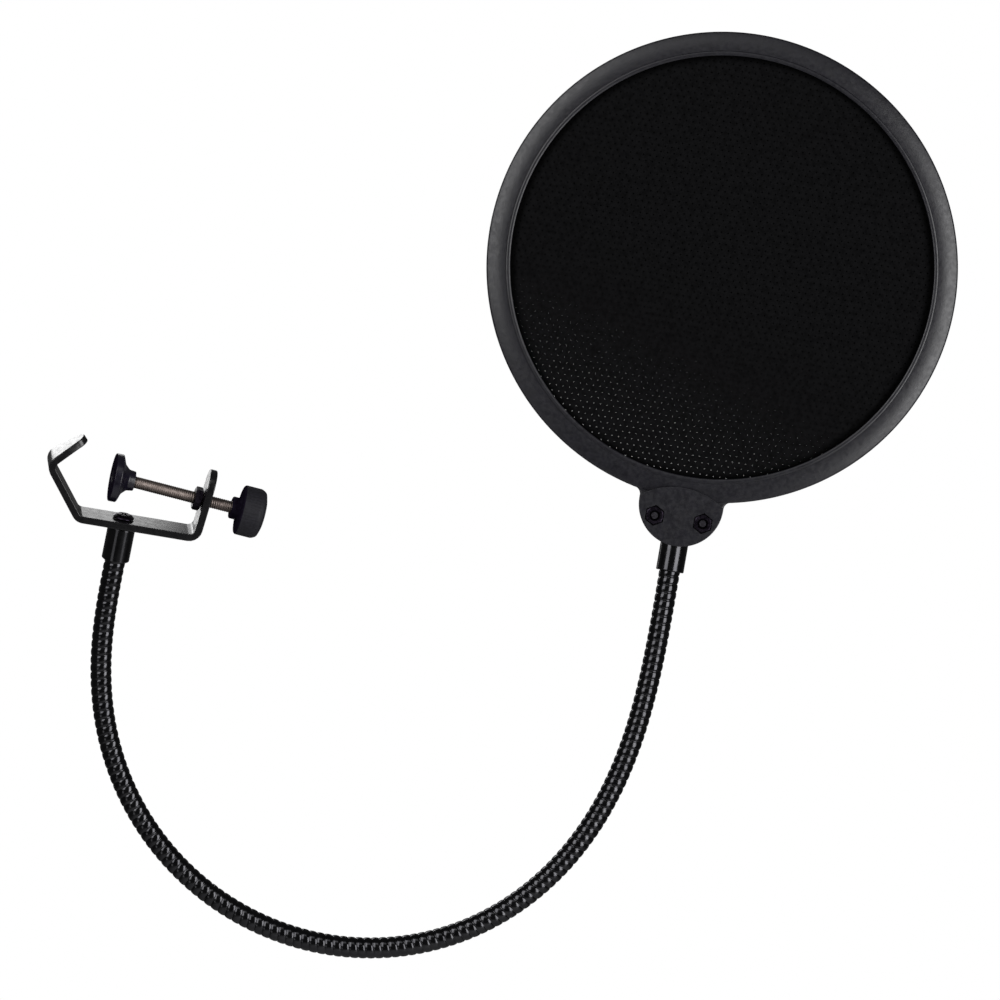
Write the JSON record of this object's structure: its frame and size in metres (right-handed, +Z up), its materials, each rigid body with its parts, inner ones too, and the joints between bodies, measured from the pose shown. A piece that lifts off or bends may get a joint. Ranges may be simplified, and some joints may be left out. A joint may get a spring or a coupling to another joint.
{
  "type": "pop filter",
  "caption": "Clamp-on studio pop filter: round double mesh screen in a plastic hoop, on a bendable gooseneck with a V-jaw screw clamp.",
  "frame": {"origin": "inner corner of the clamp's V jaw, half way across the strip", "axes": "+X from the clamp towards the screen's side, +Y away from the viewer through the screen, +Z up; the screen stands in the XZ plane"},
  "size_m": [0.3002, 0.0433, 0.3057],
  "materials": {
    "painted_steel": "satin black paint over folded steel strip, grey sheen on its faces",
    "black_steel": "black oxide steel fasteners",
    "zinc_steel": "bright zinc plated thread, warm grey",
    "black_chrome": "black chrome plating, glossy",
    "knob_plastic": "moulded plastic, finely textured",
    "pad_plastic": "moulded plastic, semi-gloss black",
    "hoop_plastic": "moulded ABS, fine matte grain, slightly purple dark grey",
    "screen_knit": "warp-knit nylon mesh, matte black"
  },
  "bodies": {
    "clamp": {"clamp_bracket": "painted_steel", "thread_nut": "black_steel", "base_screw": "black_steel", "base_ferrule": "black_chrome", "neck_01": "black_chrome"},
    "swivel": {"pad_rivet": "zinc_steel"},
    "screw": {"clamp_screw": "zinc_steel", "clamp_knob": "knob_plastic"},
    "pad": {"clamp_pad": "pad_plastic"},
    "link_02": {"neck_02": "black_chrome"},
    "link_03": {"neck_03": "black_chrome"},
    "link_04": {"neck_04": "black_chrome"},
    "link_05": {"neck_05": "black_chrome"},
    "link_06": {"neck_06": "black_chrome"},
    "link_07": {"neck_07": "black_chrome"},
    "link_08": {"neck_08": "black_chrome"},
    "link_09": {"neck_09": "black_chrome"},
    "link_10": {"neck_10": "black_chrome"},
    "link_11": {"neck_11": "black_chrome"},
    "link_12": {"neck_12": "black_chrome"},
    "head": {"neck_13": "black_chrome", "head_ferrule": "black_chrome", "front_hoop": "hoop_plastic", "rear_hoop": "hoop_plastic", "spacer_ring": "hoop_plastic", "front_screen": "screen_knit", "rear_screen": "screen_knit", "lug_nut_left": "black_steel", "lug_nut_right": "black_steel", "lug_screw_left": "black_steel", "lug_screw_right": "black_steel"}
  },
  "joints": [
    {"name": "clamp_travel", "type": "slide", "parent": "clamp", "child": "swivel", "axis": [0.9592, 0.1348, -0.2487], "range_m": [-0.0067, 0.0194]},
    {"name": "clamp_turn", "type": "hinge", "parent": "swivel", "child": "screw", "pos_m": [0, 0, 0], "axis": [0.9592, 0.1348, -0.2487], "range_deg": [-3460, 9985]},
    {"name": "pad_tilt", "type": "hinge", "parent": "swivel", "child": "pad", "pos_m": [0.02225, 0.00313, -0.00577], "axis": [-0.0563, 0.9525, 0.2993], "range_deg": [-2, 9]},
    {"name": "neck_bend_01", "type": "hinge", "parent": "clamp", "child": "link_02", "pos_m": [0.01595, 0.0181, -0.05843], "axis": [-0.0196, -0.9772, -0.2113], "range_deg": [-30, 20]},
    {"name": "neck_bend_02", "type": "hinge", "parent": "link_02", "child": "link_03", "pos_m": [0.01672, 0.02302, -0.08529], "axis": [-0.9874, 0, -0.158], "range_deg": [-25, 25]},
    {"name": "neck_bend_03", "type": "hinge", "parent": "link_03", "child": "link_04", "pos_m": [0.02497, 0.02636, -0.11109], "axis": [0.043, -0.9953, -0.0873], "range_deg": [-30, 20]},
    {"name": "neck_bend_04", "type": "hinge", "parent": "link_04", "child": "link_05", "pos_m": [0.04064, 0.02842, -0.13332], "axis": [-0.7219, 0, -0.692], "range_deg": [-25, 25]},
    {"name": "neck_bend_05", "type": "hinge", "parent": "link_05", "child": "link_06", "pos_m": [0.06233, 0.02952, -0.14985], "axis": [0.023, -0.9997, -0.0126], "range_deg": [-30, 20]},
    {"name": "neck_bend_06", "type": "hinge", "parent": "link_06", "child": "link_07", "pos_m": [0.088, 0.02995, -0.15907], "axis": [-0.1911, 0, -0.9816], "range_deg": [-25, 25]},
    {"name": "neck_bend_07", "type": "hinge", "parent": "link_07", "child": "link_08", "pos_m": [0.11526, 0.03003, -0.15991], "axis": [-0.0001, 1, 0], "range_deg": [-20, 30]},
    {"name": "neck_bend_08", "type": "hinge", "parent": "link_08", "child": "link_09", "pos_m": [0.14139, 0.03003, -0.15208], "axis": [-0.4356, 0, 0.9001], "range_deg": [-25, 25]},
    {"name": "neck_bend_09", "type": "hinge", "parent": "link_09", "child": "link_10", "pos_m": [0.1637, 0.03003, -0.13639], "axis": [0, 1, 0], "range_deg": [-20, 30]},
    {"name": "neck_bend_10", "type": "hinge", "parent": "link_10", "child": "link_11", "pos_m": [0.18044, 0.03003, -0.11482], "axis": [-0.864, 0, 0.5036], "range_deg": [-25, 25]},
    {"name": "neck_bend_11", "type": "hinge", "parent": "link_11", "child": "link_12", "pos_m": [0.19144, 0.03003, -0.08979], "axis": [0, 1, 0], "range_deg": [-20, 30]},
    {"name": "neck_bend_12", "type": "hinge", "parent": "link_12", "child": "head", "pos_m": [0.19818, 0.03003, -0.06325], "axis": [-0.9803, 0, 0.1975], "range_deg": [-25, 25]}
  ],
  "couplings": [
    {"joint": "clamp_turn", "follows": "clamp_travel", "rad_per_m": 8976}
  ]
}
